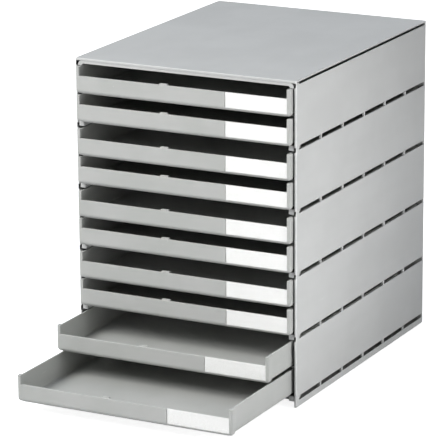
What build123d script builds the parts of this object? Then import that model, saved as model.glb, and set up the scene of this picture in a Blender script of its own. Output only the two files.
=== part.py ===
from build123d import *
import os

# Stacking desk cabinet for flat sheets: five two-drawer frames, a cover and a base.
# Millimetres. Origin: middle of the footprint, on the surface it stands on.
# +X right, +Y to the back (the drawers open towards -Y), +Z up.

# housing
width = 246.0
depth = 314.0
wall = 2.2
back_wall = 2.0
foot_height = 1.0
base_height = 9.5
frame_height = 64.3
frame_count = 5
cover_thickness = 2.5
edge_round = 1.6

# seam between two frames: a row of side slots, parted by bridges
slot_rise = 1.8
seam_drop = 2.8
cover_seam_drop = 1.6
slot_count = 6
slot_front = 6.5
slot_back = 3.0
slot_bridge = 2.6
slot_reach = 11.0
rim_lip = 0.8
back_seam = 0.7
rebate_depth = 2.0
corner_notch = 5.0

# shallow panel moulded into the back of every frame
panel_inset = 16.0
panel_margin = 9.0
panel_round = 6.0
panel_depth = 0.7

# drawer bays inside a frame, measured up from the frame's lower edge
floor_thickness = 2.1
floor_setback = 14.0
ledge_bottom = 30.0
ledge_top = 31.4
ledge_width = 11.0
ledge_setback = 7.0
lower_bay = 2.4
upper_bay = 31.7

# locating lugs at the front corners
lug_inset = 3.2
lug_width = 5.4
lug_depth = 16.0
lug_drop = 3.2
lug_setback = 0.6

# drawers
side_gap = 1.4
drawer_height = 27.2
drawer_wall = 1.6
drawer_floor = 1.8
front_wall = 2.4
front_depth = 6.0
body_inset = 2.2
post_width = 3.8
lip_height = 18.0
bottom_round = 4.0
front_round = 1.6
rear_round = 4.5
inner_round = 2.4
front_overhang = 6.3
rear_gap = 0.6
pull_9 = 47.7
pull_10 = 126.7

# stop nibs: one on each frame wall, one at the back of each drawer side
travel = 230.0
nib_proud = 0.95
nib_length = 3.0
nib_height = 6.0
nib_lift = 12.0

# finger nub behind the lip
nub_x = -21.0
nub_width = 9.0
nub_rise = 1.0
nub_thickness = 2.2

# label pocket at the right end of the lip
label_width = 67.6
label_foot = 2.6
pocket_depth = 1.0
card_thickness = 0.3
window_front = 0.1
window_thickness = 0.5
card_play = 0.3
label_rise = 0.3

# cover
shadow_gap = 1.1
shadow_depth = 14.0
shadow_front = 1.5
bar_depth = 9.0
bar_drop = 3.1
cover_fit = 0.3
cover_round = 0.9
bar_end_gap = 3.0
bar_end_round = 4.5
bar_leg = 4.2
bar_leg_drop = 1.9
bar_arch_round = 1.8
rear_tab_width = 60.0
rear_tab_drop = 2.5
rear_tab_thickness = 2.0

# base
base_rim = 2.4
base_web_drop = 5.2
base_web = 2.4
base_front_gap = 17.0
base_rib_x = 45.0
base_round = 1.2
foot_boss = 10.5

# foot pads
foot_radius = 8.0
foot_sink = 1.2
foot_inset = 22.0
foot_inset_front = 32.0

half_width = width / 2
half_depth = depth / 2
base_top = foot_height + base_height
frames_top = base_top + frame_count * frame_height
height = frames_top + cover_thickness
drawer_half_width = half_width - wall - side_gap
drawer_front = -half_depth - front_overhang
drawer_back = half_depth - back_wall - rear_gap
drawer_length = drawer_back - drawer_front
nib_front = drawer_back - 2 * nib_length
stop_face = nib_front - travel


def block(x0, x1, y0, y1, z0, z1):
    """Rectangular block between two opposite corners."""
    middle = ((x0 + x1) / 2, (y0 + y1) / 2, (z0 + z1) / 2)
    return Pos(*middle) * Box(x1 - x0, y1 - y0, z1 - z0)


def both_sides(shape):
    """The shape and its mirror image across the middle plane."""
    return shape + mirror(shape, about=Plane.YZ)


def upright_edges(shape, y):
    """Vertical edges that lie at depth y."""
    chosen = shape.edges().filter_by(Axis.Z)
    return [e for e in chosen if abs(e.center().Y - y) < 0.01]


def low_edges(shape, y):
    """Bottom edges, apart from the one that lies at depth y."""
    chosen = shape.edges().group_by(Axis.Z)[0]
    return [e for e in chosen if abs(e.center().Y - y) > 0.01]


def frame_floor(n):
    """Lower edge of frame n, counted from the top."""
    return base_top + (frame_count - n) * frame_height


def drawer_bottom(n):
    """Underside of drawer n, counted from the top."""
    frame_number = (n + 1) // 2
    bay = upper_bay if n % 2 == 1 else lower_bay
    return frame_floor(frame_number) + bay


def pull(n):
    """How far drawer n stands out of its closed place."""
    return {9: pull_9, 10: pull_10}.get(n, 0.0)


def slot_spans():
    """Front and back end of every slot."""
    run = depth - slot_front - slot_back
    length = (run - (slot_count - 1) * slot_bridge) / slot_count
    starts = [-half_depth + slot_front + i * (length + slot_bridge) for i in range(slot_count)]
    return [(start, start + length) for start in starts]


def slots(z):
    """Row of notches in the lower edge of both side walls, open to the bay behind."""
    cut = None
    for y0, y1 in slot_spans():
        one = block(half_width - slot_reach, half_width + 1, y0, y1, z - 1, z + slot_rise)
        cut = one if cut is None else cut + one
    return both_sides(cut)


def bridges(z):
    """Tabs between the slots that stand on the lowered rim below."""
    tabs = None
    spans = slot_spans()
    for (y0, y1), (y2, y3) in zip(spans, spans[1:]):
        one = block(half_width - wall, half_width, y1, y2, z - seam_drop, z + 1)
        tabs = one if tabs is None else tabs + one
    return both_sides(tabs)


def lowered_rim(top, fall):
    """What the upper edge of both side walls leaves free for the slots above."""
    y0 = -half_depth + slot_front
    y1 = half_depth - slot_back
    drop = block(half_width - slot_reach, half_width + 1, y0, y1, top - fall, top + 1)
    lip = half_width - rim_lip
    rebate = block(half_width - slot_reach, lip, y0, y1, top - fall - rebate_depth, top + 1)
    return both_sides(drop + rebate)


def corner_pocket(top):
    """Recess behind the front edge of both side walls, beside the lug."""
    lip = half_width - rim_lip
    pocket = block(half_width - slot_reach, lip, -half_depth - 1, -half_depth + slot_front,
                   top - corner_notch, top + 1)
    return both_sides(pocket)


def wall_nibs(z, back_face):
    """Pair of stop nibs on the inner faces of the side walls."""
    inner = half_width - wall
    nib = block(inner - nib_proud, inner + 0.5, back_face - nib_length, back_face, z, z + nib_height)
    return both_sides(nib)


def lugs(z0, z1):
    """Blocks at both front corners that locate a piece on the one below."""
    x1 = half_width - lug_inset
    y0 = -half_depth + lug_setback
    return both_sides(block(x1 - lug_width, x1, y0, -half_depth + lug_depth, z0, z1))


def back_relief(z):
    """Panel and seam groove that are sunk into the back face of a frame."""
    x = half_width - panel_inset
    outer = half_depth + 1
    panel = block(-x, x, half_depth - panel_depth, outer, z + panel_margin, z + frame_height - panel_margin)
    panel = fillet(panel.edges().filter_by(Axis.Y), panel_round)
    seam = block(-half_width - 1, half_width + 1, half_depth - back_seam, outer, z - 1, z + back_seam)
    return panel + seam


def frame(n):
    """One two-drawer frame: side walls, back, floor web and middle ledges."""
    z = frame_floor(n)
    top = z + frame_height
    shell = block(-half_width, half_width, -half_depth, half_depth, z, top)
    shell = fillet(upright_edges(shell, -half_depth) + upright_edges(shell, half_depth), edge_round)
    inner = half_width - wall
    shell -= block(-inner, inner, -half_depth - 1, half_depth - back_wall, z - 1, top + 1)
    shell -= lowered_rim(top, cover_seam_drop if n == 1 else seam_drop) + corner_pocket(top)
    shell -= back_relief(z)
    web = block(-inner, inner, -half_depth + floor_setback, half_depth - back_wall, z, z + floor_thickness)
    body = shell + web
    body -= slots(z)
    body += bridges(z)
    ledge_front = -half_depth + ledge_setback
    ledge = block(inner - ledge_width, inner, ledge_front, half_depth - back_wall,
                  z + ledge_bottom, z + ledge_top)
    body += both_sides(ledge)
    body += lugs(z - lug_drop, z + floor_thickness)
    for bay in (lower_bay, upper_bay):
        body += wall_nibs(z + bay + nib_lift, stop_face)
    return body


def base_plate():
    """Shallow tray on feet that carries the stack on its rim."""
    rim = block(-half_width, half_width, -half_depth, half_depth, foot_height, base_top)
    rim = fillet(upright_edges(rim, -half_depth) + upright_edges(rim, half_depth), edge_round)
    rim = fillet(rim.edges().group_by(Axis.Z)[0], base_round)
    inner_x = half_width - base_rim
    inner_y = half_depth - base_rim
    web_top = base_top - base_web_drop
    web_low = web_top - base_web
    rim -= block(-inner_x, inner_x, -inner_y, inner_y, foot_height - 1, web_low)
    rim -= block(-inner_x, inner_x, -inner_y, inner_y, web_top, base_top + 1)
    for x in (-base_rib_x, base_rib_x):
        rim += block(x - 1, x + 1, -inner_y, inner_y, web_top, base_top)
    rim += foot_bosses()
    rim -= feet()
    rim -= lowered_rim(base_top, seam_drop)
    front_gap = block(-inner_x, inner_x, -half_depth - 1, -half_depth + base_front_gap, 0, height)
    return rim - front_gap


def foot_places():
    """Middle of each foot pad."""
    x = half_width - foot_inset
    y = half_depth - foot_inset_front
    return [(0.0, 0.0)] + [(sx * x, sy * y) for sx in (-1, 1) for sy in (-1, 1)]


def foot_bosses():
    """Round seats under the base for the pads."""
    seat = None
    tall = base_height - base_web_drop - base_web
    for x, y in foot_places():
        one = Pos(x, y, foot_height + tall / 2) * Cylinder(foot_boss, tall)
        seat = one if seat is None else seat + one
    return seat


def feet():
    """Round pads at the corners and the middle, sunk into their seats."""
    pads = None
    tall = foot_height + foot_sink
    for x, y in foot_places():
        one = Pos(x, y, tall / 2) * Cylinder(foot_radius, tall)
        pads = one if pads is None else pads + one
    return pads


def cover():
    """Flat lid with a front bar and a rear tab that reach down inside the top frame."""
    plate = block(-half_width, half_width, -half_depth, half_depth, frames_top, height)
    plate = fillet(upright_edges(plate, -half_depth) + upright_edges(plate, half_depth), edge_round)
    plate = fillet(plate.edges().group_by(Axis.Z)[-1], cover_round)
    seam = block(half_width - shadow_depth, half_width + 1, -half_depth + shadow_front,
                 half_depth - slot_back, frames_top - 1, frames_top + shadow_gap)
    plate -= both_sides(seam)
    bar = front_bar()
    tab_back = half_depth - back_wall - cover_fit
    tab = block(-rear_tab_width / 2, rear_tab_width / 2, tab_back - rear_tab_thickness, tab_back,
                frames_top - rear_tab_drop, frames_top)
    return plate + bar + tab


def front_bar():
    """Bar under the cover's front edge whose rounded ends turn down towards the drawer posts."""
    end = half_width - bar_end_gap
    low = frames_top - bar_drop - bar_leg_drop
    bar = block(-end, end, -half_depth + 0.4, -half_depth + bar_depth, low, frames_top)
    arch_end = end - bar_leg
    arch = block(-arch_end, arch_end, -half_depth - 1, -half_depth + bar_depth + 1,
                 low - 5, frames_top - bar_drop)
    arch_top = [e for e in arch.edges().filter_by(Axis.Y) if e.center().Z > low]
    bar -= fillet(arch_top, bar_arch_round)
    shoulders = [e for e in bar.edges().filter_by(Axis.Y)
                 if abs(e.center().X) > end - 0.01 and e.center().Z > frames_top - 0.01]
    return fillet(shoulders, bar_end_round)


def tray(n):
    """Open drawer: floor, three tall walls, a wider front with a low lip between two posts."""
    z = drawer_bottom(n)
    y = drawer_front - pull(n)
    x = drawer_half_width
    side = x - body_inset
    body = block(-side, side, y + front_wall, y + drawer_length, z, z + drawer_height)
    body = fillet(upright_edges(body, y + drawer_length), rear_round)
    body = fillet(low_edges(body, y + front_wall), bottom_round)
    front = block(-x, x, y, y + front_depth, z, z + drawer_height)
    front = fillet(low_edges(front, y + front_depth), bottom_round)
    body += fillet(upright_edges(front, y), front_round)
    inner = side - drawer_wall
    hollow = block(-inner, inner, y + front_wall, y + drawer_length - drawer_wall,
                   z + drawer_floor, z + drawer_height + 5)
    hollow = fillet(hollow.edges().group_by(Axis.Z)[0], inner_round)
    body -= hollow
    gate = x - post_width
    body -= block(-gate, gate, y - 1, y + front_wall + 1, z + lip_height, z + drawer_height + 1)
    body -= label_pocket(y, z)
    tail = nib_front - pull(n)
    nib = block(side - 0.5, x + nib_proud, tail, tail + nib_length, z + nib_lift, z + nib_lift + nib_height)
    return body + both_sides(nib) + nub(y, z)


def nub(y, z):
    """Small rounded finger stop on the back of the lip."""
    top = z + lip_height + nub_rise
    pad = block(nub_x - nub_width / 2, nub_x + nub_width / 2, y + front_wall - 0.4,
                y + front_wall + nub_thickness, z + drawer_floor - 0.4, top)
    shoulders = [e for e in pad.edges().filter_by(Axis.Y) if e.center().Z > top - 1]
    return fillet(shoulders, nub_rise - 0.1)


def label_right():
    """Right end of the label pocket."""
    return drawer_half_width - post_width


def label_pocket(y, z):
    """Recess in the lip's face that holds the card and its window."""
    x1 = label_right()
    return block(x1 - label_width, x1, y - 1, y + pocket_depth, z + label_foot, z + lip_height + 1)


def label_piece(n, front, back, play):
    """Flat piece in the label pocket between two depths behind the lip's face."""
    z = drawer_bottom(n)
    y = drawer_front - pull(n)
    x1 = label_right() - play
    x0 = label_right() - label_width + play
    return block(x0, x1, y + front, y + back, z + label_foot, z + lip_height + label_rise - play)


def write(shape, name):
    """One STEP file for one node."""
    export_step(shape, f"parts/{name}.step")


def main():
    os.makedirs("parts", exist_ok=True)
    write(cover(), "top_cover")
    for n in range(1, frame_count + 1):
        write(frame(n), f"stack_frame_{n}")
    write(base_plate(), "base_plate")
    write(feet(), "foot_pads")
    for n in range(1, 2 * frame_count + 1):
        write(tray(n), f"drawer_tray_{n}")
        write(label_piece(n, pocket_depth - card_thickness, pocket_depth, card_play), f"label_card_{n}")
        write(label_piece(n, window_front, window_front + window_thickness, 0), f"label_window_{n}")


main()
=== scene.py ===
import math

import bmesh
import bpy
from mathutils import Matrix, Vector

# Desk drawer cabinet: five stacked two-drawer frames in pale grey moulded plastic.
# Metres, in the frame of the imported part: drawers open towards -Y, Z is up.

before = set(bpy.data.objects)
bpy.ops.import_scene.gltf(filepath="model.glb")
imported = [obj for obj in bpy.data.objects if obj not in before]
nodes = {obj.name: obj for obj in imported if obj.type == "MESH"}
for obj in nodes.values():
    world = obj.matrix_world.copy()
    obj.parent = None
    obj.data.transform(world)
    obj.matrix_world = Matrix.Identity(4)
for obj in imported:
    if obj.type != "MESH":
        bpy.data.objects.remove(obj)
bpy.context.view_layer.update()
drawerCount = sum(1 for name in nodes if name.startswith("drawer_tray_"))
frameCount = sum(1 for name in nodes if name.startswith("stack_frame_"))
print("frame loaded:", drawerCount, "drawers in", frameCount, "frames")


def srgb(r, g, b):
    # 0-255 screen colour to the linear colour that a shader takes
    def linear(v):
        v = v / 255
        return v / 12.92 if v <= 0.04045 else ((v + 0.055) / 1.055) ** 2.4
    return (linear(r), linear(g), linear(b), 1.0)


def newGroup(name, inputs, outputs):
    # inputs are numbers with a starting value; outputs say their kind
    group = bpy.data.node_groups.new(name, "ShaderNodeTree")
    face = group.interface
    for label, value in inputs:
        socket = face.new_socket(name=label, in_out="INPUT", socket_type="NodeSocketFloat")
        socket.default_value = value
    for label, kind in outputs:
        face.new_socket(name=label, in_out="OUTPUT", socket_type=kind)
    source = group.nodes.new("NodeGroupInput")
    result = group.nodes.new("NodeGroupOutput")
    return group, source, result


def mathNode(tree, operation, a, b=None, clamp=False):
    node = tree.nodes.new("ShaderNodeMath")
    node.operation = operation
    node.use_clamp = clamp
    for socket, value in zip(node.inputs, (a, b)):
        if value is None:
            continue
        if isinstance(value, (int, float)):
            socket.default_value = value
        else:
            tree.links.new(value, socket)
    return node.outputs[0]


def scaled(tree, value, factor):
    return mathNode(tree, "MULTIPLY", value, factor)


def remap(tree, value, ends, to=(0.0, 1.0)):
    # smooth step from one pair of ends to the other
    node = tree.nodes.new("ShaderNodeMapRange")
    node.interpolation_type = "SMOOTHSTEP"
    node.inputs["From Min"].default_value = ends[0]
    node.inputs["From Max"].default_value = ends[1]
    node.inputs["To Min"].default_value = to[0]
    node.inputs["To Max"].default_value = to[1]
    tree.links.new(value, node.inputs["Value"])
    return node.outputs["Result"]


def mixColour(tree, factor, a, b):
    # a colour mix takes its factor at 0 and its colours at 6 and 7, and gives output 2
    node = tree.nodes.new("ShaderNodeMix")
    node.data_type = "RGBA"
    for socket, value in ((node.inputs[0], factor), (node.inputs[6], a), (node.inputs[7], b)):
        if isinstance(value, bpy.types.NodeSocket):
            tree.links.new(value, socket)
        else:
            socket.default_value = value
    return node.outputs[2]


def noise(tree, vector, look):
    # look is scale, detail, roughness
    node = tree.nodes.new("ShaderNodeTexNoise")
    for label, value in zip(("Scale", "Detail", "Roughness"), look):
        node.inputs[label].default_value = value
    tree.links.new(vector, node.inputs["Vector"])
    return node.outputs["Fac"]


def stretched(tree, vector, factors):
    node = tree.nodes.new("ShaderNodeMapping")
    node.inputs["Scale"].default_value = factors
    tree.links.new(vector, node.inputs["Vector"])
    return node.outputs["Vector"]


def objectPlace(tree):
    return tree.nodes.new("ShaderNodeTexCoord").outputs["Object"]


def axesOf(tree, vector):
    split = tree.nodes.new("ShaderNodeSeparateXYZ")
    tree.links.new(vector, split.inputs[0])
    return split.outputs


def surfaceNormal(tree):
    return tree.nodes.new("ShaderNodeNewGeometry").outputs["Normal"]


grainLook = {
    "pebble": (1900.0, 3.0, 0.6),
    "cellScale": 1300.0,
    "cellShare": 0.6,
    "cloud": (14.0, 3.0, 0.55),
    "flow": (1.0, 2.0, 0.5),
    "flowStretch": (22.0, 6.0, 40.0),
    "cloudShare": 0.6,
    "flowShare": 0.4,
    "middle": 0.5,
}


def buildMouldGrain(look):
    # spark-eroded satin of a steel mould: a fine pebble and a slow cloudiness
    outputs = (("Height", "NodeSocketFloat"), ("Shade", "NodeSocketFloat"),
               ("Gloss", "NodeSocketFloat"))
    group, source, result = newGroup("mouldGrain", (("Pebble", 1.0), ("Cloud", 1.0)), outputs)
    place = objectPlace(group)
    pebble = noise(group, place, look["pebble"])
    cells = group.nodes.new("ShaderNodeTexVoronoi")
    cells.inputs["Scale"].default_value = look["cellScale"]
    group.links.new(place, cells.inputs["Vector"])
    dents = scaled(group, cells.outputs["Distance"], look["cellShare"])
    both = mathNode(group, "ADD", pebble, dents)
    group.links.new(scaled(group, both, source.outputs["Pebble"]), result.inputs["Height"])
    cloud = scaled(group, noise(group, place, look["cloud"]), look["cloudShare"])
    flow = noise(group, stretched(group, place, look["flowStretch"]), look["flow"])
    slow = mathNode(group, "ADD", cloud, scaled(group, flow, look["flowShare"]))
    centred = mathNode(group, "SUBTRACT", slow, look["middle"])
    group.links.new(scaled(group, centred, source.outputs["Cloud"]), result.inputs["Shade"])
    group.links.new(mathNode(group, "SUBTRACT", pebble, look["middle"]), result.inputs["Gloss"])
    return group


handlingLook = {
    "hairs": (1.0, 2.0, 0.6),
    "hairStretch": (900.0, 26.0, 420.0),
    "hairEnds": (0.66, 0.74),
    "patches": (24.0, 2.0, 0.5),
    "patchEnds": (0.5, 0.68),
    "upwardEnds": (0.7, 1.0),
    "specks": (640.0, 2.0, 0.7),
    "speckEnds": (0.6, 0.78),
    "speckShare": 0.6,
    "film": (9.0, 3.0, 0.6),
    "filmEnds": (0.35, 0.75),
    "filmShare": 0.4,
}


def buildHandling(look):
    # faint rubs and hairlines from sheets and hands, and dust that settles on what faces up
    outputs = (("Scuff", "NodeSocketFloat"), ("Dust", "NodeSocketFloat"))
    group, source, result = newGroup("handling", (("Amount", 1.0),), outputs)
    place = objectPlace(group)
    hairs = noise(group, stretched(group, place, look["hairStretch"]), look["hairs"])
    line = remap(group, hairs, look["hairEnds"])
    where = remap(group, noise(group, place, look["patches"]), look["patchEnds"])
    scuff = mathNode(group, "MULTIPLY", line, where)
    group.links.new(scaled(group, scuff, source.outputs["Amount"]), result.inputs["Scuff"])
    upward = remap(group, axesOf(group, surfaceNormal(group))["Z"], look["upwardEnds"])
    specks = remap(group, noise(group, place, look["specks"]), look["speckEnds"])
    film = remap(group, noise(group, place, look["film"]), look["filmEnds"])
    specks = scaled(group, specks, look["speckShare"])
    soft = mathNode(group, "ADD", specks, scaled(group, film, look["filmShare"]))
    dust = mathNode(group, "MULTIPLY", soft, upward)
    group.links.new(scaled(group, dust, source.outputs["Amount"]), result.inputs["Dust"])
    return group


edgeLook = {
    "samples": 6,
    "turnEnds": (1.0, 0.85),        # cosine between the plain and the rounded normal
    "cornerEnds": (0.08, 0.34),     # product of the normal's X and Y on an upright corner
}


def buildSoftEdge(look):
    # the small radius that every moulded edge has, and a mask of it and of rounded upright corners,
    # by which the finish paints a highlight
    outputs = (("Normal", "NodeSocketVector"), ("HighlightMask", "NodeSocketFloat"))
    group, source, result = newGroup("softEdge", (("Radius", 0.0004), ("Corners", 0.0)), outputs)
    rounded = group.nodes.new("ShaderNodeBevel")
    rounded.samples = look["samples"]
    group.links.new(source.outputs["Radius"], rounded.inputs["Radius"])
    plain = surfaceNormal(group)
    turn = group.nodes.new("ShaderNodeVectorMath")
    turn.operation = "DOT_PRODUCT"
    group.links.new(rounded.outputs["Normal"], turn.inputs[0])
    group.links.new(plain, turn.inputs[1])
    facing = axesOf(group, plain)
    oblique = mathNode(group, "ABSOLUTE", mathNode(group, "MULTIPLY", facing["X"], facing["Y"]))
    cornerHighlightMask = scaled(group, remap(group, oblique, look["cornerEnds"]), source.outputs["Corners"])
    sharp = remap(group, turn.outputs["Value"], look["turnEnds"])
    group.links.new(mathNode(group, "MAXIMUM", sharp, cornerHighlightMask), result.inputs["HighlightMask"])
    group.links.new(rounded.outputs["Normal"], result.inputs["Normal"])
    return group


creviceShadeLook = {
    "samples": 8,
    "openEnds": (0.08, 0.46),   # a square inner corner is 0.5 open and stays clear
}


def buildCreviceShade(look):
    # 1 on open faces and square corners, 0 down in a slot or a narrow gap; the finish paints shade
    # by it
    group, source, result = newGroup("creviceShade", (("Reach", 0.004),), (("Open", "NodeSocketFloat"),))
    shelter = group.nodes.new("ShaderNodeAmbientOcclusion")
    shelter.samples = look["samples"]
    group.links.new(source.outputs["Reach"], shelter.inputs["Distance"])
    group.links.new(remap(group, shelter.outputs["AO"], look["openEnds"]), result.inputs["Open"])
    return group


pinLook = {
    "radius": 0.0032,
    "line": 0.00035,
    "levelEnds": (0.97, 0.999),
    "middle": 0.5,
}


def buildPinMarks(look):
    # round witness marks of the ejector pins, in a grid on what faces straight up or down
    inputs = (("Spacing", 0.052), ("Radius", look["radius"]))
    group, source, result = newGroup("pinMarks", inputs, (("Height", "NodeSocketFloat"),))
    axes = axesOf(group, objectPlace(group))
    squares = []
    for axis in ("X", "Y"):
        cell = mathNode(group, "DIVIDE", axes[axis], source.outputs["Spacing"])
        inside = mathNode(group, "SUBTRACT", mathNode(group, "FRACT", cell), look["middle"])
        offset = scaled(group, inside, source.outputs["Spacing"])
        squares.append(mathNode(group, "MULTIPLY", offset, offset))
    away = mathNode(group, "SQRT", mathNode(group, "ADD", squares[0], squares[1]))
    beyond = mathNode(group, "SUBTRACT", away, source.outputs["Radius"])
    ring = remap(group, mathNode(group, "ABSOLUTE", beyond), (look["line"], 0.0))
    facing = axesOf(group, surfaceNormal(group))
    level = remap(group, mathNode(group, "ABSOLUTE", facing["Z"]), look["levelEnds"])
    group.links.new(mathNode(group, "MULTIPLY", ring, level), result.inputs["Height"])
    return group


mouldGrain = buildMouldGrain(grainLook)
handling = buildHandling(handlingLook)
softEdge = buildSoftEdge(edgeLook)
creviceShade = buildCreviceShade(creviceShadeLook)
pinMarks = buildPinMarks(pinLook)
print("shared effects built")


def placeGroup(tree, group, **values):
    node = tree.nodes.new("ShaderNodeGroup")
    node.node_tree = group
    for label, value in values.items():
        node.inputs[label].default_value = value
    return node


def blankMaterial(name):
    material = bpy.data.materials.new(name)
    material.use_nodes = True
    tree = material.node_tree
    return material, tree, tree.nodes["Principled BSDF"]


def addBump(tree, shader, height, look, base=None):
    bump = tree.nodes.new("ShaderNodeBump")
    bump.inputs["Distance"].default_value = look["bumpDepth"]
    bump.inputs["Strength"].default_value = look["bumpStrength"]
    tree.links.new(height, bump.inputs["Height"])
    if base is not None:
        tree.links.new(base, bump.inputs["Normal"])
    tree.links.new(bump.outputs["Normal"], shader.inputs["Normal"])


plasticCommon = {
    "toneEnds": (-0.12, 0.12),
    "scuffTint": 0.35,
    "dustTint": 0.10,
    "glossSpread": 0.16,
    "dustRough": 0.08,
    "scuffPolish": 0.10,
    "pinDepth": 2.5,
    "ior": 1.49,
}

housingLook = {
    "pale": srgb(196, 197, 196),
    "dark": srgb(191, 192, 191),
    "scuff": srgb(214, 215, 214),
    "dust": srgb(222, 220, 214),
    "edge": srgb(236, 237, 236),
    "edgeRadius": 0.0005,
    "edgeLift": 0.5,
    "cornerHighlight": 1.0,
    "paintedShade": srgb(26, 26, 26),
    "shadeReach": 0.014,
    "pins": 0.0,
    "roughness": 0.44,
    "pebble": 1.0,
    "cloud": 1.0,
    "wear": 0.7,
    "bumpDepth": 0.00006,
    "bumpStrength": 0.55,
}

drawerLook = {
    "pale": srgb(184, 185, 183),
    "dark": srgb(178, 180, 177),
    "scuff": srgb(214, 215, 212),
    "dust": srgb(218, 217, 210),
    "edge": srgb(224, 225, 221),
    "edgeRadius": 0.0005,
    "edgeLift": 0.45,
    "cornerHighlight": 0.0,
    "shadeReach": 0.0,
    "pins": 0.058,
    "roughness": 0.42,
    "pebble": 0.8,
    "cloud": 1.0,
    "wear": 1.0,
    "bumpDepth": 0.00005,
    "bumpStrength": 0.45,
}


def satinPlastic(name, look, common):
    # a reach or a pin spacing of 0 leaves that effect out
    material, tree, shader = blankMaterial(name)
    grain = placeGroup(tree, mouldGrain, Pebble=look["pebble"], Cloud=look["cloud"])
    worn = placeGroup(tree, handling, Amount=look["wear"])
    scuff = worn.outputs["Scuff"]
    dust = worn.outputs["Dust"]
    tone = remap(tree, grain.outputs["Shade"], common["toneEnds"])
    colour = mixColour(tree, tone, look["dark"], look["pale"])
    colour = mixColour(tree, scaled(tree, scuff, common["scuffTint"]), colour, look["scuff"])
    colour = mixColour(tree, scaled(tree, dust, common["dustTint"]), colour, look["dust"])
    # painted highlight: edges and rounded upright corners are lightened towards a pale colour
    edge = placeGroup(tree, softEdge, Radius=look["edgeRadius"], Corners=look["cornerHighlight"])
    lift = scaled(tree, edge.outputs["HighlightMask"], look["edgeLift"])
    colour = mixColour(tree, lift, colour, look["edge"])
    # painted shade: slots and narrow gaps are darkened towards a near-black colour
    if look["shadeReach"]:
        shadeGroup = placeGroup(tree, creviceShade, Reach=look["shadeReach"])
        colour = mixColour(tree, shadeGroup.outputs["Open"], look["paintedShade"], colour)
    tree.links.new(colour, shader.inputs["Base Color"])
    rough = scaled(tree, grain.outputs["Gloss"], common["glossSpread"])
    rough = mathNode(tree, "ADD", rough, look["roughness"])
    rough = mathNode(tree, "ADD", rough, scaled(tree, dust, common["dustRough"]))
    polish = scaled(tree, scuff, common["scuffPolish"])
    rough = mathNode(tree, "SUBTRACT", rough, polish, clamp=True)
    tree.links.new(rough, shader.inputs["Roughness"])
    shader.inputs["IOR"].default_value = common["ior"]
    height = grain.outputs["Height"]
    if look["pins"]:
        marks = placeGroup(tree, pinMarks, Spacing=look["pins"])
        rings = scaled(tree, marks.outputs["Height"], common["pinDepth"])
        height = mathNode(tree, "SUBTRACT", height, rings)
    addBump(tree, shader, height, look, edge.outputs["Normal"])
    return material


cardLook = {
    "pale": srgb(253, 253, 252),
    "fibre": srgb(245, 245, 242),
    "fibres": (1.0, 4.0, 0.65),
    "fibreStretch": (1400.0, 900.0, 420.0),
    "fibreEnds": (0.35, 0.65),
    "flecks": (520.0, 2.0, 0.5),
    "fleckEnds": (0.66, 0.74),
    "fleckTint": 0.5,
    "roughEnds": (0.3, 0.7),
    "roughness": (0.82, 0.95),
    "bumpDepth": 0.00004,
    "bumpStrength": 0.6,
}


def cardPaper(name, look):
    material, tree, shader = blankMaterial(name)
    place = objectPlace(tree)
    fibres = noise(tree, stretched(tree, place, look["fibreStretch"]), look["fibres"])
    flecks = remap(tree, noise(tree, place, look["flecks"]), look["fleckEnds"])
    tone = mixColour(tree, remap(tree, fibres, look["fibreEnds"]), look["fibre"], look["pale"])
    tone = mixColour(tree, scaled(tree, flecks, look["fleckTint"]), tone, look["fibre"])
    tree.links.new(tone, shader.inputs["Base Color"])
    rough = remap(tree, fibres, look["roughEnds"], look["roughness"])
    tree.links.new(rough, shader.inputs["Roughness"])
    addBump(tree, shader, fibres, look)
    return material


windowLook = {
    "tint": srgb(250, 251, 252),
    "alpha": 0.10,
    "ior": 1.49,
    "roughness": 0.07,
    "smear": (1.0, 3.0, 0.6),
    "smearStretch": (60.0, 60.0, 220.0),
    "smearRough": 0.10,
    "hairs": (1.0, 2.0, 0.6),
    "hairStretch": (40.0, 40.0, 2600.0),
    "hairEnds": (0.66, 0.74),
    "hairRough": 0.12,
}


def clearWindow(name, look):
    material, tree, shader = blankMaterial(name)
    place = objectPlace(tree)
    smear = noise(tree, stretched(tree, place, look["smearStretch"]), look["smear"])
    hairs = noise(tree, stretched(tree, place, look["hairStretch"]), look["hairs"])
    hairs = remap(tree, hairs, look["hairEnds"])
    rough = mathNode(tree, "ADD", look["roughness"], scaled(tree, smear, look["smearRough"]))
    rough = mathNode(tree, "ADD", rough, scaled(tree, hairs, look["hairRough"]))
    tree.links.new(rough, shader.inputs["Roughness"])
    shader.inputs["Base Color"].default_value = look["tint"]
    shader.inputs["Alpha"].default_value = look["alpha"]
    shader.inputs["IOR"].default_value = look["ior"]
    return material


rubberLook = {
    "black": srgb(44, 44, 45),
    "worn": srgb(74, 73, 71),
    "toneEnds": (-0.1, 0.1),
    "pebble": 1.0,
    "cloud": 1.0,
    "roughness": 0.8,
    "glossSpread": 0.2,
    "bumpDepth": 0.0001,
    "bumpStrength": 0.6,
}


def footRubber(name, look):
    material, tree, shader = blankMaterial(name)
    grain = placeGroup(tree, mouldGrain, Pebble=look["pebble"], Cloud=look["cloud"])
    tone = remap(tree, grain.outputs["Shade"], look["toneEnds"])
    colour = mixColour(tree, tone, look["black"], look["worn"])
    tree.links.new(colour, shader.inputs["Base Color"])
    gloss = scaled(tree, grain.outputs["Gloss"], look["glossSpread"])
    rough = mathNode(tree, "ADD", look["roughness"], gloss)
    tree.links.new(rough, shader.inputs["Roughness"])
    addBump(tree, shader, grain.outputs["Height"], look)
    return material


housingPlastic = satinPlastic("housingPlastic", housingLook, plasticCommon)
drawerPlastic = satinPlastic("drawerPlastic", drawerLook, plasticCommon)
labelCard = cardPaper("labelCard", cardLook)
labelWindow = clearWindow("labelWindow", windowLook)
padRubber = footRubber("padRubber", rubberLook)
print("finishes built")


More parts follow.
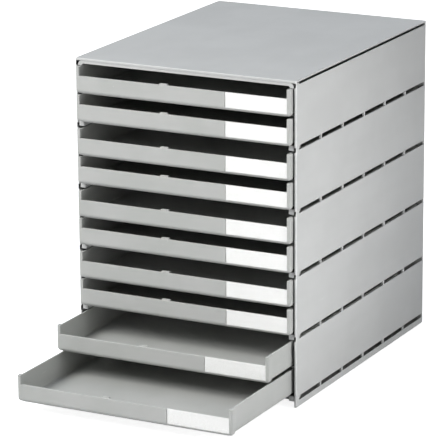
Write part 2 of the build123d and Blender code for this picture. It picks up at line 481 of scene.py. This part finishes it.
def finishFor(name):
    if name.startswith("drawer_tray_"):
        return drawerPlastic
    if name.startswith("label_card_"):
        return labelCard
    if name.startswith("label_window_"):
        return labelWindow
    if name == "foot_pads":
        return padRubber
    return housingPlastic


for name, part in nodes.items():
    part.data.materials.clear()
    part.data.materials.append(finishFor(name))
print("nodes finished:", len(nodes))


sweepLook = {
    "tone": srgb(216, 216, 217),
    "roughness": 0.9,
    "specular": 0.1,
    "whiteLift": 0.87,      # what the camera sees on top of the lit paper
    "floorSize": 8.0,
    "bendRadius": 1.0,
    "bendSteps": 16,
    "backdropHeight": 4.0,
}


def paleSweep(look):
    # one sheet: floor, a wide bend behind, then a wall
    mesh = bmesh.new()
    half = look["floorSize"] / 2
    bend = look["bendRadius"]
    steps = look["bendSteps"]
    left = mesh.verts.new((-half, -half, 0))
    right = mesh.verts.new((half, -half, 0))
    frontEdge = mesh.edges.new((left, right))

    def carry(moved, offset):
        grown = bmesh.ops.extrude_edge_only(mesh, edges=moved)["geom"]
        verts = [g for g in grown if isinstance(g, bmesh.types.BMVert)]
        bmesh.ops.translate(mesh, verts=verts, vec=offset)
        return [g for g in grown if isinstance(g, bmesh.types.BMEdge)]

    last = carry([frontEdge], (0, look["floorSize"] - bend, 0))
    for i in range(steps):
        a0 = math.pi / 2 * i / steps
        a1 = math.pi / 2 * (i + 1) / steps
        rise = bend * (math.cos(a0) - math.cos(a1))
        run = bend * (math.sin(a1) - math.sin(a0))
        last = carry(last, (0, run, rise))
    carry(last, (0, 0, look["backdropHeight"]))
    data = bpy.data.meshes.new("paleSweep")
    mesh.to_mesh(data)
    mesh.free()
    for face in data.polygons:
        face.use_smooth = True
    sheet = bpy.data.objects.new("paleSweep", data)
    bpy.context.collection.objects.link(sheet)
    return sheet


def seenDirectly(tree):
    # 1 for what the camera sees, also through something clear
    rays = tree.nodes.new("ShaderNodeLightPath").outputs
    return mathNode(tree, "MAXIMUM", rays["Is Camera Ray"], rays["Is Transmission Ray"])


def sweepPaper(look):
    material, tree, shader = blankMaterial("sweepPaper")
    shader.inputs["Base Color"].default_value = look["tone"]
    shader.inputs["Roughness"].default_value = look["roughness"]
    shader.inputs["Specular IOR Level"].default_value = look["specular"]
    shader.inputs["Emission Color"].default_value = (1, 1, 1, 1)
    glow = scaled(tree, seenDirectly(tree), look["whiteLift"])
    tree.links.new(glow, shader.inputs["Emission Strength"])
    return material


sweep = paleSweep(sweepLook)
sweep.data.materials.append(sweepPaper(sweepLook))
print("floor and backdrop laid")


worldLook = {
    "leftLevel": 0.26,
    "rightLevel": 0.08,
    "turnEnds": (-0.5, 0.6),    # X of the direction, where the level begins and ends its fall
}


def softWorld(look):
    world = bpy.data.worlds.new("softWorld")
    bpy.context.scene.world = world
    world.use_nodes = True
    tree = world.node_tree
    background = tree.nodes["Background"]
    background.inputs["Color"].default_value = (1, 1, 1, 1)
    way = axesOf(tree, tree.nodes.new("ShaderNodeTexCoord").outputs["Generated"])
    ambient = remap(tree, way["X"], look["turnEnds"], (look["leftLevel"], look["rightLevel"]))
    lift = mathNode(tree, "MULTIPLY", seenDirectly(tree), mathNode(tree, "SUBTRACT", 1.0, ambient))
    tree.links.new(mathNode(tree, "ADD", lift, ambient), background.inputs["Strength"])


softWorld(worldLook)

lamps = {
    "sideSoft": {"place": (0.55, -0.20, 0.13), "aim": (0.12, -0.17, 0.13),
                 "wide": 0.26, "tall": 0.75, "power": 2.7, "tint": (1.0, 0.995, 0.985)},
    "frontSoft": {"place": (-0.80, -1.45, 1.70), "aim": (0.0, -0.15, 0.17),
                  "wide": 1.1, "tall": 1.2, "power": 50.0, "tint": (1.0, 1.0, 0.99)},
    "overhead": {"place": (0.0, 0.25, 2.2), "aim": (0.0, 0.0, 0.33),
                 "wide": 1.5, "tall": 1.5, "power": 6.0, "tint": (0.52, 0.70, 1.0)},
    "rearFill": {"place": (0.5, 2.2, 1.1), "aim": (0.0, 0.15, 0.17),
                 "wide": 1.5, "tall": 1.2, "power": 14.0, "tint": (1.0, 1.0, 1.0)},
}


def softLamp(name, look):
    lamp = bpy.data.lights.new(name, "AREA")
    lamp.shape = "RECTANGLE"
    lamp.size = look["wide"]
    lamp.size_y = look["tall"]
    lamp.energy = look["power"]
    lamp.color = look["tint"]
    holder = bpy.data.objects.new(name, lamp)
    holder.location = look["place"]
    sight = Vector(look["aim"]) - Vector(look["place"])
    holder.rotation_euler = sight.to_track_quat("-Z", "Y").to_euler()
    holder.visible_camera = False
    bpy.context.collection.objects.link(holder)


for name, look in lamps.items():
    softLamp(name, look)
print("studio lit")


cameraLook = {
    "place": (1.35808, -2.70944, 0.99319),
    "yaw": math.radians(27.331),
    "pitch": math.radians(-15.706),
    "roll": math.radians(0.403),
    "focalPixels": 3013.73,
    "imagePixels": 440,
    "sensorWidth": 36.0,
}


def pointCamera(look):
    turn = (Matrix.Rotation(look["yaw"], 4, "Z") @ Matrix.Rotation(look["pitch"], 4, "X")
            @ Matrix.Rotation(look["roll"], 4, "Y"))
    upright = Matrix.Rotation(math.pi / 2, 4, "X")   # Blender's camera looks down its own -Z
    camera = bpy.data.cameras.new("photoCamera")
    camera.sensor_width = look["sensorWidth"]
    camera.lens = look["sensorWidth"] * look["focalPixels"] / look["imagePixels"]
    holder = bpy.data.objects.new("photoCamera", camera)
    holder.matrix_world = Matrix.Translation(look["place"]) @ turn @ upright
    bpy.context.collection.objects.link(holder)
    bpy.context.scene.camera = holder


pointCamera(cameraLook)
bpy.context.scene.view_settings.view_transform = "Standard"
